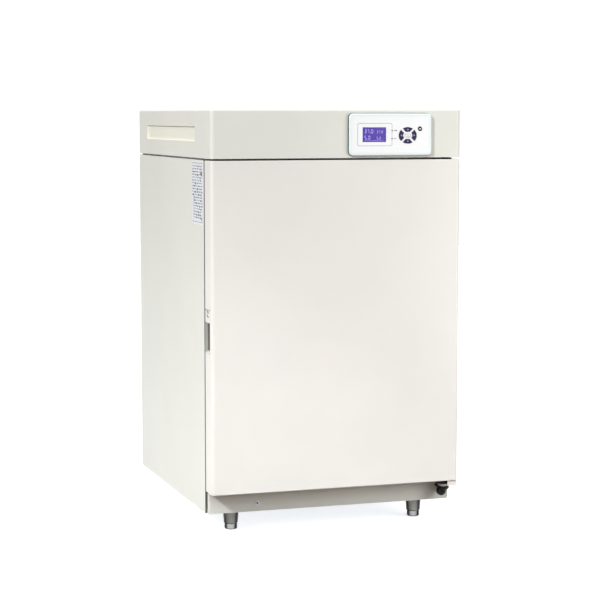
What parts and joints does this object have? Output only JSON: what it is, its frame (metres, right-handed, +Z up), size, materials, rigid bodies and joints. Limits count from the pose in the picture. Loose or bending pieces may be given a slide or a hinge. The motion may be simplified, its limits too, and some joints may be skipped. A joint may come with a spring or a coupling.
{
  "type": "laboratory incubator",
  "caption": "Tall box-shaped CO2 laboratory incubator with an insulated front door, an inner glass door, a stainless chamber and a control hood on top, on levelling feet.",
  "frame": {"origin": "on the floor under the middle of the bounding box", "axes": "+Z up, the door faces -Y, +X to the right seen from the front"},
  "size_m": [0.59, 0.705, 0.954],
  "materials": {
    "cabinet_paint": "satin",
    "door_paint": "satin",
    "recess_paint": "satin",
    "frame_paint": "satin",
    "galvanised": "satin",
    "stainless": "satin",
    "insulation": "matte",
    "heater_silicone": "matte",
    "seal_silicone": "satin",
    "gasket_rubber": "matte",
    "bezel_plastic": "gloss",
    "key_plastic": "satin",
    "ok_key_plastic": "satin",
    "power_key_plastic": "satin",
    "lamp_lens": "gloss",
    "display_lens": "gloss",
    "lcd": "satin",
    "circuit_board": "satin",
    "black_metal": "satin",
    "black_plastic": "satin",
    "nylon": "satin",
    "grip_plastic": "satin",
    "latch_plastic": "satin",
    "foot_plastic": "satin",
    "zinc_steel": "satin",
    "brass": "polished",
    "hose_silicone": "satin",
    "glass": "gloss",
    "rotor_aluminium": "satin"
  },
  "bodies": {
    "cabinet": {"left_side_panel": "cabinet_paint", "right_side_panel": "cabinet_paint", "rear_panel": "cabinet_paint", "base_pan": "galvanised", "front_frame": "frame_paint", "kick_plate": "cabinet_paint", "top_deck": "galvanised", "chamber": "stainless", "heater_mats": "heater_silicone", "insulation_slabs": "insulation", "glass_door_seal": "seal_silicone", "shelf_racks": "stainless", "shelf_lower": "stainless", "shelf_upper": "stainless", "water_tray": "stainless", "fan_cover": "stainless", "fan_motor": "black_metal", "co2_sensor": "nylon", "temperature_probe": "stainless", "hood_shell": "cabinet_paint", "hood_recess_trays": "recess_paint", "hood_rear_panel": "cabinet_paint", "control_bezel": "bezel_plastic", "bezel_gasket": "gasket_rubber", "display_window": "display_lens", "lcd_module": "lcd", "indicator_leds": "lamp_lens", "control_board": "circuit_board", "power_supply": "galvanised", "co2_valve": "brass", "co2_inlet": "brass", "co2_hose": "hose_silicone", "power_entry_module": "black_plastic", "hinge_washer": "nylon", "lower_hinge_bracket": "black_metal", "upper_hinge_bracket": "black_metal", "glass_door_fittings": "stainless", "foot_housings": "foot_plastic", "cabinet_screws": "zinc_steel"},
    "door": {"door_outer_skin": "door_paint", "door_inner_liner": "frame_paint", "door_insulation": "insulation", "door_gasket": "gasket_rubber", "door_grip": "grip_plastic", "door_hinge_leaf": "black_metal"},
    "glass_door": {"glass_pane": "glass", "glass_hinges": "stainless"},
    "glass_latch": {"glass_latch": "latch_plastic"},
    "fan_rotor": {"fan_rotor": "rotor_aluminium"},
    "mains_rocker": {"mains_switch_rocker": "black_plastic"},
    "key_up": {"key_up": "key_plastic"},
    "key_down": {"key_down": "key_plastic"},
    "key_left": {"key_left": "key_plastic"},
    "key_right": {"key_right": "key_plastic"},
    "key_ok": {"key_ok": "ok_key_plastic"},
    "key_power": {"key_power": "power_key_plastic"},
    "foot_front_left": {"foot_front_left": "zinc_steel"},
    "foot_front_right": {"foot_front_right": "zinc_steel"},
    "foot_rear_left": {"foot_rear_left": "zinc_steel"},
    "foot_rear_right": {"foot_rear_right": "zinc_steel"}
  },
  "joints": [
    {"name": "door_swing", "type": "hinge", "parent": "cabinet", "child": "door", "pos_m": [0.2705, -0.3195, 0.471], "axis": [0, 0, 1], "range_deg": [0, 115]},
    {"name": "glass_door_swing", "type": "hinge", "parent": "cabinet", "child": "glass_door", "pos_m": [0.2245, -0.2705, 0.471], "axis": [0, 0, 1], "range_deg": [0, 92]},
    {"name": "glass_latch_turn", "type": "hinge", "parent": "glass_door", "child": "glass_latch", "pos_m": [-0.204, -0.273, 0.471], "axis": [0, -1, 0], "range_deg": [0, 90]},
    {"name": "fan_spin", "type": "hinge", "parent": "cabinet", "child": "fan_rotor", "pos_m": [0, 0.1535, 0.531], "axis": [0, 1, 0], "continuous": true},
    {"name": "mains_rocker_tilt", "type": "hinge", "parent": "cabinet", "child": "mains_rocker", "pos_m": [-0.22, 0.3303, 0.897], "axis": [1, 0, 0], "range_deg": [-16, 0]},
    {"name": "key_up_press", "type": "slide", "parent": "cabinet", "child": "key_up", "axis": [0, 1, 0], "range_m": [0, 0.0008], "stiffness_N_per_m": 600, "springref_m": -0.0005},
    {"name": "key_down_press", "type": "slide", "parent": "cabinet", "child": "key_down", "axis": [0, 1, 0], "range_m": [0, 0.0008], "stiffness_N_per_m": 600, "springref_m": -0.0005},
    {"name": "key_left_press", "type": "slide", "parent": "cabinet", "child": "key_left", "axis": [0, 1, 0], "range_m": [0, 0.0008], "stiffness_N_per_m": 600, "springref_m": -0.0005},
    {"name": "key_right_press", "type": "slide", "parent": "cabinet", "child": "key_right", "axis": [0, 1, 0], "range_m": [0, 0.0008], "stiffness_N_per_m": 600, "springref_m": -0.0005},
    {"name": "key_ok_press", "type": "slide", "parent": "cabinet", "child": "key_ok", "axis": [0, 1, 0], "range_m": [0, 0.0008], "stiffness_N_per_m": 600, "springref_m": -0.0005},
    {"name": "key_power_press", "type": "slide", "parent": "cabinet", "child": "key_power", "axis": [0, 1, 0], "range_m": [0, 0.0008], "stiffness_N_per_m": 600, "springref_m": -0.0005},
    {"name": "foot_front_left_height", "type": "slide", "parent": "cabinet", "child": "foot_front_left", "axis": [0, 0, -1], "range_m": [0, 0.012]},
    {"name": "foot_front_right_height", "type": "slide", "parent": "cabinet", "child": "foot_front_right", "axis": [0, 0, -1], "range_m": [0, 0.012]},
    {"name": "foot_rear_left_height", "type": "slide", "parent": "cabinet", "child": "foot_rear_left", "axis": [0, 0, -1], "range_m": [0, 0.012]},
    {"name": "foot_rear_right_height", "type": "slide", "parent": "cabinet", "child": "foot_rear_right", "axis": [0, 0, -1], "range_m": [0, 0.012]}
  ],
  "couplings": [
    {"joint": "glass_door_swing", "follows": "door_swing", "ratio": 0.8}
  ]
}
